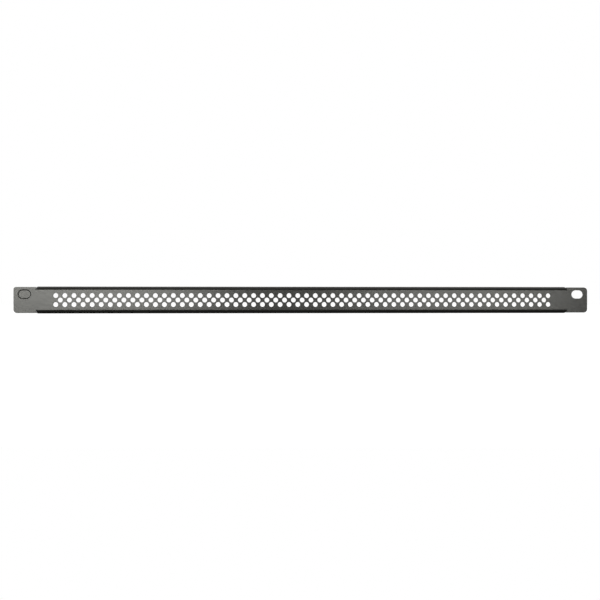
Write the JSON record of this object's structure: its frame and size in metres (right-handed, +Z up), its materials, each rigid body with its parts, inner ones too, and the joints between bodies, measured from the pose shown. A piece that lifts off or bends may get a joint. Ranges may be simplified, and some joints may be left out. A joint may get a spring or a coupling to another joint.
{
  "type": "vented rack blanking panel",
  "caption": "Half-unit vented blanking panel for a 19-inch equipment rack: one folded steel sheet with round vents and slotted ears.",
  "frame": {"origin": "midway between the two rack slots' centres, on the back of the ears, which lies against the rack", "axes": "+X along the panel towards the ear with the open slot, +Y into the rack, the way the flanges are folded, +Z up"},
  "size_m": [0.4826, 0.012, 0.0222],
  "materials": {
    "powder_coated_steel": "satin black powder coat"
  },
  "bodies": {
    "root": {"panel": "powder_coated_steel"}
  },
  "joints": []
}
